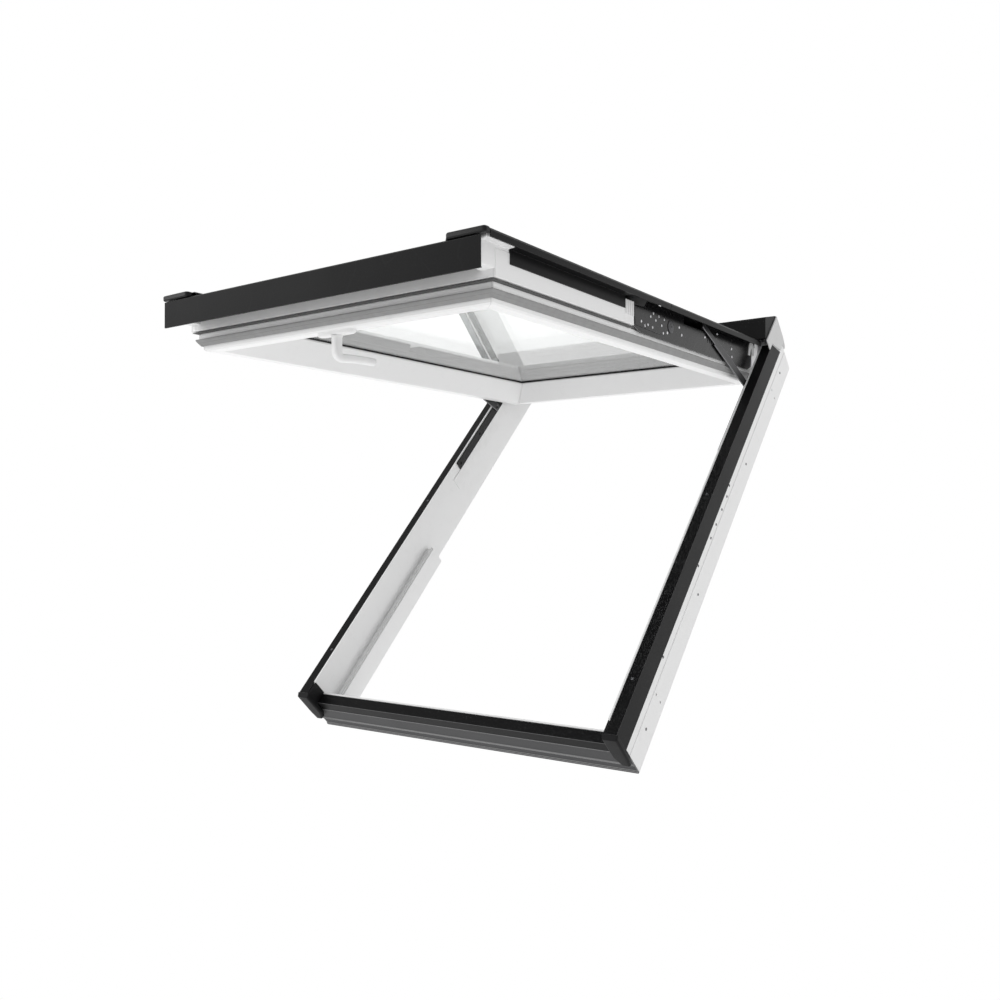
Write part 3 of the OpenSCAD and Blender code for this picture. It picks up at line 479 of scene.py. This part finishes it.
def turned(profile, centres, axis, steps=20):
    """Profiles of (radius, height) turned about axis at each centre: centre + h axis + r (a cos + b sin)."""
    axis = np.asarray(axis, float)
    a = np.cross(axis, [0, 0, 1.0]) if abs(axis[2]) < 0.9 else np.cross(axis, [1.0, 0, 0])
    a /= np.linalg.norm(a)
    b = np.cross(axis, a)
    t = np.arange(steps) * 2 * math.pi / steps
    ring = np.cos(t)[:, None] * a + np.sin(t)[:, None] * b
    p = np.asarray(profile, float)
    blocks = []
    for c in np.atleast_2d(centres):
        points = c + p[:, 1][:, None, None] * axis + p[:, 0][:, None, None] * ring
        blocks.append(grid(points, False, True))
    return blocks


def dome(r, h, pit=0.0):
    """Section of a domed head of radius r and height h, with a round pit of radius pit."""
    t = np.linspace(0, math.pi / 2, 6)
    rim = [(0, 0), (r, 0), (r, h * 0.25)]
    crown = [(r * math.cos(a), h * (0.25 + 0.75 * math.sin(a))) for a in t[1:]]
    if pit:
        crown = [c for c in crown if c[0] > pit * 1.1]
        top = crown[-1][1]
        return rim + crown + [(pit, top), (pit * 0.9, h * 0.35), (0, h * 0.35)]
    return rim + crown


def swept(centre, across, up, halves, nu=24, power=2.6):
    """A tube of superellipse sections, closed by its end faces: the centre at s, plus a(s) across times the
    cosine and b(s) up times the sine, each to the power 2 / power with its sign kept."""
    t = np.arange(nu) * 2 * math.pi / nu
    c, s = np.cos(t), np.sin(t)
    cx, sx = np.sign(c) * np.abs(c) ** (2 / power), np.sign(s) * np.abs(s) ** (2 / power)
    centre, across, up, halves = map(np.asarray, (centre, across, up, halves))
    points = (centre[:, None] + cx[None, :, None] * across[:, None] * halves[:, None, 0:1]
              + sx[None, :, None] * up[:, None] * halves[:, None, 1:2])
    return grid(points, False, True, True)


def operator_class(name, label, doc, work):
    """An operator that runs work(context) and raises if it fails."""

    def execute(self, context):
        work(context)
        return {"FINISHED"}

    return type("ROOFWIN_OT_" + name, (bpy.types.Operator,), {
        "__doc__": doc, "bl_idname": "roofwin." + name, "bl_label": label,
        "bl_options": {"REGISTER", "UNDO"}, "execute": execute})


# Sizes and colours -------------------------------------------------------

class RoofWindowLook(bpy.types.PropertyGroup):
    """Colours and edge sizes of the whole window."""

    white: bpy.props.FloatProperty(name="White", description="Brightness of the white profiles",
                                   default=0.86, min=0.3, max=0.95, subtype="FACTOR")
    black: bpy.props.FloatVectorProperty(name="Covers", description="Colour of the sheet covers",
                                         default=(0.0065, 0.0065, 0.0068), size=3,
                                         subtype="COLOR", min=0, max=1)
    profile_edge: bpy.props.FloatProperty(name="Profile edge", default=0.0011, unit="LENGTH", subtype="DISTANCE",
                                          description="Rounding of the white profiles' edges")
    sheet_edge: bpy.props.FloatProperty(name="Sheet edge", default=0.0005, unit="LENGTH", subtype="DISTANCE",
                                        description="Rounding of the covers' folds and edges")


class RoofWindowHandle(bpy.types.PropertyGroup):
    """The handle's sizes."""

    lever: bpy.props.FloatProperty(name="Lever", description="Length of the lever from its spindle",
                                   default=0.074, unit="LENGTH", subtype="DISTANCE")
    neck: bpy.props.FloatProperty(name="Neck", description="Length of the neck below its base",
                                  default=0.0305, unit="LENGTH", subtype="DISTANCE")
    turn: bpy.props.FloatProperty(name="Turn", description="Turn of the lever from its locked place",
                                  default=math.radians(78), subtype="ANGLE")


class RoofWindowStage(bpy.types.PropertyGroup):
    """Floor, light and camera."""

    floor: bpy.props.FloatProperty(name="Floor", description="Brightness of the floor", default=0.2,
                                   subtype="FACTOR")
    soft: bpy.props.FloatProperty(name="Soft light", description="Strength of the even light", default=0.85)
    bounce: bpy.props.FloatProperty(name="Bounce", description="Glow of the floor under the window",
                                    default=0.95)
    dim_right: bpy.props.FloatProperty(name="Dim right", description="Loss of soft light from the right",
                                       default=0.6, subtype="FACTOR")
    key: bpy.props.FloatProperty(name="Key light", description="Power of the large lamp", default=38.0)
    lens: bpy.props.FloatProperty(name="Lens", description="Camera lens in millimetres", default=35.105)


# Frame -------------------------------------------------------------------

def make_frame(context):
    edge = context.scene.roofwin_look.profile_edge
    for look, nodes in (("white_x", ("frame_sill", "frame_head")),
                        ("white_y", ("jamb_left", "jamb_right", "jamb_bead_left", "jamb_bead_right"))):
        for node in nodes:
            softened(node, edge, finish(look), 3)
    softened("rail_covers", 0.0006, finish("white_moulding"))
    softened("lock_keeper", 0.0005, finish("bright_steel"))
    bulb_gasket()


def bulb_gasket():
    """Round bulb on a foot, carried along the inner step of the lower jambs and the sill."""
    low, high = corners("frame_gasket")
    bead = corners("jamb_bead_right")
    foot = bead[1][2]
    r = (high[2] - foot) / 2
    t = np.linspace(-0.25 * math.pi, 1.25 * math.pi, 15)
    mid = high[0] - r * 1.25
    bulb = np.stack([r * np.cos(t), r + r * np.sin(t)], -1)
    section = np.concatenate([bulb, [(-r * 1.2, 0.0), (r * 1.2, 0.0)]])
    ledge = low[1] + (high[0] - mid)
    way = np.array([(mid, high[1]), (mid, ledge), (-mid, ledge), (-mid, high[1])])
    out = np.array([(1.0, 0.0), (1.0, -1.0), (-1.0, -1.0), (-1.0, 0.0)])
    points = np.concatenate([
        way[:, None] + out[:, None] * section[None, :, :1],
        np.broadcast_to(foot + section[:, 1:], (4, len(section), 1))], -1)
    put(solid("bulb_gasket", [grid(points, False, True, True)], finish("frame_seal")), "frame_gasket")


def make_cladding(context):
    edge = context.scene.roofwin_look.sheet_edge
    # The lighter rim finishes on the rounded strips paint highlights along the folds and edges
    softened("sill_face", 0.0009, finish("grey_sheet"), rim="face_fold_highlight")
    for node in ("sill_cover", "jamb_cover_left", "jamb_cover_right"):
        softened(node, edge * 1.3, finish("black_sheet"), rim="sheet_fold_highlight")
    softened("hood", 0.0006, finish("black_sheet"), 3, 9)
    for node in ("hood_cheek_left", "hood_cheek_right"):
        softened(node, 0.0008, finish("cheek_sheet"))
    softened("corner_caps", 0.0018, finish("black_moulding"), 3, 40)


def screw_rows():
    """Heads on the jambs: a domed disc with a round pit at every packed screw, along its thin direction."""
    pit, inside = 0.0011, 0.98
    blocks = []
    for low, high in lumps("frame_screws"):
        middle, span = (low + high) / 2, high - low
        side = 1.0 if low[0] > 0 else -1.0
        if span[0] < span[2]:
            axis, foot = [side, 0, 0], [low[0] if side > 0 else high[0], middle[1], middle[2]]
        else:
            axis, foot = [0, 0, 1.0], [middle[0], middle[1], low[2]]
        blocks += turned(dome(span[1] / 2 * inside, span.min() * inside, pit), [foot], axis, 16)
    put(solid("jamb_screw_heads", blocks, finish("screw_steel")), "frame_screws")


def make_hinges(context):
    for s in ("left", "right"):
        softened("stay_rail_" + s, 0.0006, finish("black_steel"))
        softened("hinge_bracket_" + s, 0.0005, finish("bright_steel"))
    screw_rows()


# Arms and stays ----------------------------------------------------------

def rivet_heads():
    """Domed heads on the arms' outer faces at every packed rivet; every third has a turned pit."""
    pit, inside = 0.0011, 0.98
    blocks = []
    for i, (low, high) in enumerate(sorted(lumps("arm_rivets", True), key=lambda b: (b[0][0], b[0][1]))):
        side = 1.0 if low[0] > 0 else -1.0
        centre = np.array([(low[0] if side > 0 else high[0]), (low[1] + high[1]) / 2, (low[2] + high[2]) / 2])
        r, h = (high[1] - low[1]) / 2 * inside, (high[0] - low[0]) * inside
        blocks += turned(dome(r, h, pit if i % 3 == 0 else 0.0), [swung(centre)], [side, 0, 0], 18)
    put(solid("arm_rivet_heads", blocks, finish("bright_steel")), "arm_rivets")


def pivot_hubs():
    """Centre pins: a stepped washer and a domed pin end, turned about the pivot axis."""
    blocks = []
    for low, high in lumps("pivot_pins", True):
        side = 1.0 if low[0] > 0 else -1.0
        inner, outer = (low[0], high[0]) if side > 0 else (high[0], low[0])
        r = (high[1] - low[1]) / 2
        length = abs(outer - inner)
        # Radius and distance back from the outer end: shank, washer, domed end, centre mark
        shank = [(0, 0), (0.0074, 0), (0.0079, 0.0005)]
        steps = [(0.0079, 0.0026), (r * 0.99, 0.0025), (r * 0.99, 0.0014), (r * 0.86, 0.0009), (0.0072, 0.0009),
                 (0.0068, 0.0003), (0.0050, 0.0001), (0.0022, 0.0001), (0.0019, 0.0012), (0, 0.0012)]
        pin = shank + [(radius, length - back) for radius, back in steps]
        centre = swung(np.array([inner, (low[1] + high[1]) / 2, (low[2] + high[2]) / 2]))
        blocks += turned(pin, [centre], [side, 0, 0], 32)
    put(solid("pivot_hubs", blocks, finish("hub_steel")), "pivot_pins")


def make_arms(context):
    edge = context.scene.roofwin_look.sheet_edge
    for s in ("left", "right"):
        # The lighter rim finishes on the rounded strips paint highlights along the folds and edges
        softened("arm_" + s, 0.0007, finish("black_steel"), rim="steel_edge_highlight")
        softened("arm_cover_" + s, edge, finish("sash_sheet"), rim="sash_fold_highlight")
    softened("brake_plates", 0.0005, finish("black_steel"), rim="steel_edge_highlight")
    softened("arm_buffers", 0.0007, finish("sash_moulding"))
    rivet_heads()
    pivot_hubs()


def make_stays(context):
    for s in ("left", "right"):
        # The lighter rim finish on the rounded strips paints a highlight along the edges
        softened("stay_" + s, 0.0009, finish("stay_steel"), 3, rim="steel_edge_highlight")


# Sash --------------------------------------------------------------------

def make_sash(context):
    edge = context.scene.roofwin_look.profile_edge
    for node, look in (("sash_bottom_rail", "sash_x"), ("sash_top_rail", "sash_x"),
                       ("sash_stile_left", "sash_y"), ("sash_stile_right", "sash_y")):
        softened(node, edge, finish(look), 3)
    for node in ("side_trim_left", "side_trim_right"):
        softened(node, 0.0009, finish("sash_y"), 3)
    softened("trim_end_blocks", 0.0009, finish("sash_moulding"), 3)
    softened("trim_corners", 0.0018, finish("sash_moulding"), 3)
    softened("bottom_trim", 0.0012, finish("grey_moulding"), 3)
    softened("cover_clips", 0.0004, finish("sash_moulding"))


def make_seals(context):
    """Sections in millimetres outwards from the sash's room-side edge and up from its room face."""
    soft = np.array([(0.0, 9.0), (0.9, 8.6), (1.7, 8.9), (2.6, 10.6), (3.6, 11.2), (4.4, 12.9), (5.6, 13.6),
                     (6.2, 15.4), (7.4, 16.2), (8.3, 18.2), (9.0, 19.2), (9.1, 20.6), (8.4, 21.4), (6.0, 21.0)])
    ring_seal("inner_seal_piece", soft / 1000, "inner_seal", finish("seal"))
    lip_strips(np.array([(3.2, 33.9), (6.0, 32.1), (9.0, 32.2), (12.6, 32.9), (13.0, 33.6), (12.4, 34.1),
                         (9.0, 33.6)]) / 1000)
    for node in ("glass_pad_inner", "glass_pad_outer"):
        softened(node, 0.0004, finish("dark_seal"))


def lip_strips(section):
    """Thin outer lip: four straight strips with mitred lower corners, ending where the packed lip ends.
    Each strip is its section at two places, joined by straight lines and closed by its ends."""
    stop = min(b[1][1] for b in lumps("lip_seal", True))
    out, z = section[:, 0], ROOM_N + section[:, 1]
    low, high = EDGE_Y[0] - out, EDGE_Y[1] + out

    def strip(*ends):
        places = [np.stack(np.broadcast_arrays(x, y, z), -1) for x, y in ends]
        return grid(swung(np.array(places)), False, True, True)

    side, top = EDGE_X + out, EDGE_X + STILE_LIP
    blocks = [strip((s * side, low), (s * side, stop)) for s in (1, -1)]
    blocks += [strip((side, low), (-side, low)), strip((top, high), (-top, high))]
    put(solid("outer_lip", blocks, finish("seal_light")), "lip_seal")


def make_covers(context):
    edge = context.scene.roofwin_look.sheet_edge
    for node in ("bottom_cover", "side_cover_left", "side_cover_right", "top_cover"):
        # The lighter rim finish on the rounded strips paints a highlight along the folds and edges
        softened(node, edge * 1.2, finish("sash_sheet"), 3, rim="sash_fold_highlight")
    softened("cover_noses", 0.0032, finish("sash_black_moulding"), 5, 50)


def make_glass(context):
    for node in ("glass_inner", "glass_outer"):
        softened(node, 0.0004, finish("glass"))
    softened("glass_spacer", 0.0003, finish("spacer"))


def make_hidden_metal(context):
    """Tubes, bushes and the lock case inside the profiles keep their packed shape."""
    for node in ("frame_steel", "sash_steel", "pivot_bushes", "lock_case"):
        mesh = frame["nodes"][node].data
        mesh.materials.clear()
        mesh.materials.append(finish("bright_steel"))


# Handle ------------------------------------------------------------------

def handle_rose(low, high, spot):
    """Base of the handle: superellipse slices of one box, drawn in to a rounded rim towards the room."""
    inside, rim, straight, slices = 0.0002, 0.0035, 0.3, 8
    half_x, half_y = (high[0] - low[0]) / 2 - inside, (high[1] - low[1]) / 2 - inside
    t = np.linspace(0, math.pi / 2, slices - 1)
    drop = (high[2] - low[2]) * np.concatenate([[0.0, straight], straight + (1 - straight) * np.sin(t[1:])])
    shrink = np.concatenate([[0.0, 0.0], rim * (1 - np.cos(t[1:]))])
    centres = np.stack([np.zeros(slices), np.full(slices, spot[1]), high[2] - drop], -1)
    points, faces = swept(centres, np.tile([1.0, 0, 0], (slices, 1)), np.tile([0, 1.0, 0], (slices, 1)),
                          np.stack([half_x - shrink, half_y - shrink], -1), 56, 3.6)
    put(solid("handle_rose", [(swung(points), faces)], finish("sash_moulding"), 50), "handle_base")


def lever_line(size, bend, depth, reach):
    """Centre line as (out from the spindle, down from the rose): a straight neck, a quarter circle of
    radius bend, and a grip that sags by half a sine wave."""
    sag_depth = 0.0010
    a = np.linspace(0, math.pi / 2, 9)[1:]
    neck = np.array([(0.0, d) for d in np.linspace(0.0, depth - bend, 6)])
    corner = np.stack([bend * (1 - np.cos(a)), depth - bend + bend * np.sin(a)], -1)
    out = np.linspace(bend, reach, 16)[1:]
    sag = sag_depth * np.sin((out - bend) / (size.lever - bend) * math.pi)
    return np.concatenate([neck, corner, np.stack([out, depth - sag], -1)])


def handle_grip(size, spot, top):
    """Neck and grip: superellipse sections along the bent centre line, closing in a rounded tip; a collar
    at the rose and a spindle into the lock are turned about the neck's axis."""
    bend, half_thick, tip = 0.011, 0.0074, 0.007
    reach = size.lever + 0.0085
    line = lever_line(size, bend, size.neck + half_thick, reach)
    away = np.array([math.cos(size.turn), math.sin(size.turn), 0.0])
    centre = np.stack([spot[0] + line[:, 0] * away[0], spot[1] + line[:, 0] * away[1], top - line[:, 1]], -1)
    step = np.gradient(line, axis=0)
    step /= np.linalg.norm(step, axis=1)[:, None]
    tangent = np.stack([step[:, 0] * away[0], step[:, 0] * away[1], -step[:, 1]], -1)
    across = np.tile([-away[1], away[0], 0.0], (len(line), 1))
    share = np.clip((line[:, 0] - bend) / (size.lever - bend), 0, 1)
    wide = 0.0088 - 0.0006 * share
    thick = np.where(line[:, 0] < 1e-6, 0.0084, half_thick - 0.0008 * share)
    thick = np.convolve(np.pad(thick, 2, "edge"), np.ones(5) / 5, "valid")
    end = np.clip((reach - line[:, 0]) / tip, 0.0, 1.0)
    close = np.sqrt(1 - (1 - end) ** 2)
    close[-1] = 0.25
    halves = np.stack([wide, thick], -1) * close[:, None]
    points, faces = swept(centre, across, np.cross(tangent, across), halves, 32, 2.8)
    root = [swung(np.array([spot[0], spot[1], top]))]
    into_sash = swung(np.array([0, 0, 1.0])) - swung(np.zeros(3))
    collar = turned([(0.0, 0.0), (0.0102, 0.0), (0.0104, 0.0012), (0.0098, 0.003), (0.0, 0.003)],
                    root, -into_sash, 36)
    spindle = turned([(0.0, 0.0), (0.0035, 0.0), (0.0035, 0.022), (0.0, 0.022)], root, into_sash, 16)
    blocks = [(swung(points), faces)] + collar + spindle
    put(solid("handle_grip", blocks, finish("sash_moulding"), 60), "handle_lever")


def make_handle(context):
    low, high = corners("handle_base", True)
    spot = shut(np.array(JOINTS["handle_turn"]["pos_m"]))
    gap = 0.0004
    handle_rose(low, high, spot)
    handle_grip(context.scene.roofwin_handle, spot, low[2] - gap)


# Stage -------------------------------------------------------------------

def make_floor(context, size):
    """A square sheet just below the window, evenly white to the camera."""
    half, below = 14.0, 0.0005
    u = np.linspace(-1, 1, 24)
    gx, gy = np.meshgrid(u, u, indexing="ij")
    points, faces = grid(np.stack([gx * half, gy * half, np.full_like(gx, -below)], -1))
    floor_mesh = bpy.data.meshes.new("floor")
    floor_mesh.from_pydata(points.tolist(), [], [f[::-1] for f in faces])
    floor = bpy.data.objects.new("floor", floor_mesh)
    context.scene.collection.objects.link(floor)
    m = Finish("pale_floor", Specular_IOR_Level=0.1, Roughness=0.9)
    tone = m.noise(m.place(), 3.0, 2.0)
    shade = m.blend(tone, grey(size.floor * 0.99), grey(size.floor))
    m.feed(Base_Color=shade)
    m.shader.inputs["Emission Color"].default_value = grey(1.0)
    m.shader.inputs["Emission Strength"].default_value = size.bounce
    # The camera sees an even white sweep; other rays meet the dimmer floor
    path = m.node("ShaderNodeLightPath")
    sweep = m.node("ShaderNodeEmission", None, {"Color": grey(1.0), "Strength": 1.0})
    pick = m.node("ShaderNodeMixShader", None, {
        0: m.out(path, "Is Camera Ray"), 1: m.out(m.shader), 2: m.out(sweep)})
    m.tree.links.new(pick.outputs[0], m.tree.nodes["Material Output"].inputs[0])
    floor_mesh.materials.append(m.material)


def make_world(context, size):
    """Even soft light, dimmer from the right; the camera sees plain white."""
    world = bpy.data.worlds.new("soft_room")
    world.use_nodes = True
    context.scene.world = world
    tree = world.node_tree
    back = tree.nodes["Background"]
    back.inputs["Color"].default_value = grey(1.0)
    # Dimmer from the right, so faces on that side stay light grey
    here = tree.nodes.new("ShaderNodeTexCoord")
    split = tree.nodes.new("ShaderNodeSeparateXYZ")
    tree.links.new(here.outputs["Generated"], split.inputs[0])
    right = Wire(tree, split.outputs[0]).math("MAXIMUM", 0.0)
    level = (1.0 - right * size.dim_right) * size.soft
    tree.links.new(level.socket, back.inputs["Strength"])
    seen = tree.nodes.new("ShaderNodeBackground")
    seen.inputs["Color"].default_value = grey(1.0)
    seen.inputs["Strength"].default_value = 1.0
    path = tree.nodes.new("ShaderNodeLightPath")
    pick = tree.nodes.new("ShaderNodeMixShader")
    tree.links.new(path.outputs["Is Camera Ray"], pick.inputs[0])
    tree.links.new(back.outputs[0], pick.inputs[1])
    tree.links.new(seen.outputs[0], pick.inputs[2])
    tree.links.new(pick.outputs[0], tree.nodes["World Output"].inputs[0])


def make_stage(context):
    size = context.scene.roofwin_stage
    make_floor(context, size)
    make_world(context, size)
    side_share = 0.05
    for name, place, aim, power, width in (
            ("key_lamp", (-2.6, -1.2, 3.4), (0, 0, 0.4), size.key, 2.2),
            ("side_lamp", (3.2, -0.6, 2.0), (0.2, 0.2, 0.3), size.key * side_share, 1.6)):
        lamp = bpy.data.lights.new(name, "AREA")
        lamp.energy, lamp.size = power, width
        o = bpy.data.objects.new(name, lamp)
        o.location = place
        o.rotation_euler = (Vector(aim) - Vector(place)).to_track_quat("-Z", "Y").to_euler()
        context.scene.collection.objects.link(o)
    eye = bpy.data.cameras.new("eye")
    eye.lens, eye.sensor_width = size.lens, 36.0
    eye.clip_start = 0.05
    camera = bpy.data.objects.new("eye", eye)
    camera.matrix_world = Matrix((
        (0.8168, 0.0182, 0.5767, 1.20366), (0.4045, 0.6946, -0.5949, -1.39330),
        (-0.4114, 0.7192, 0.5600, 1.43466), (0, 0, 0, 1)))
    context.scene.collection.objects.link(camera)
    context.scene.camera = camera
    context.scene.view_settings.view_transform = "Standard"


def make_finishes(context):
    mix_finishes(context.scene.roofwin_look)


STEPS = [operator_class(*row) for row in (
    ("stage", "Stage", "Makes the floor, the lamps and the camera.", make_stage),
    ("finishes", "Finishes", "Makes every finish from the chosen colours.", make_finishes),
    ("frame", "Frame profiles", "Makes the sill, the head, the jambs and their gasket.", make_frame),
    ("cladding", "Frame cladding", "Makes the sheets, the hood and the caps of the frame.", make_cladding),
    ("hinges", "Hinges and rails", "Makes the rails, the hinge brackets and the screws.", make_hinges),
    ("arms", "Arms", "Makes the lifting arms with covers, rivets and pivots.", make_arms),
    ("stays", "Stays", "Makes the two stays.", make_stays),
    ("sash", "Sash profiles", "Makes the white lengths and trims of the sash.", make_sash),
    ("seals", "Seals", "Makes the seals of the sash and the glass.", make_seals),
    ("covers", "Sash covers", "Makes the black covers of the sash.", make_covers),
    ("glass", "Glass", "Makes the double glazing.", make_glass),
    ("hidden", "Inner metal", "Finishes the metal inside the profiles.", make_hidden_metal),
    ("handle", "Handle", "Makes the handle and its rose.", make_handle),
)]
GROUPS = [("roofwin_look", RoofWindowLook), ("roofwin_handle", RoofWindowHandle),
          ("roofwin_stage", RoofWindowStage)]


class ROOFWIN_PT_panel(bpy.types.Panel):
    """Lists the sizes, the colours and the steps."""

    bl_idname, bl_label = "ROOFWIN_PT_panel", "Roof window"
    bl_space_type, bl_region_type, bl_category = "VIEW_3D", "UI", "Roof window"

    def draw(self, context):
        for key, kind in GROUPS:
            box = self.layout.box()
            for name in kind.__annotations__:
                box.prop(getattr(context.scene, key), name)
        for step in STEPS:
            self.layout.operator(step.bl_idname)


def register():
    for key, kind in GROUPS:
        bpy.utils.register_class(kind)
        setattr(bpy.types.Scene, key, bpy.props.PointerProperty(type=kind))
    for kind in STEPS + [ROOFWIN_PT_panel]:
        bpy.utils.register_class(kind)


def unregister():
    for kind in reversed(STEPS + [ROOFWIN_PT_panel]):
        bpy.utils.unregister_class(kind)
    for key, kind in reversed(GROUPS):
        delattr(bpy.types.Scene, key)
        bpy.utils.unregister_class(kind)


def main():
    register()
    for step in STEPS:
        getattr(bpy.ops.roofwin, step.bl_idname.split(".")[1])()


if __name__ == "__main__":
    main()
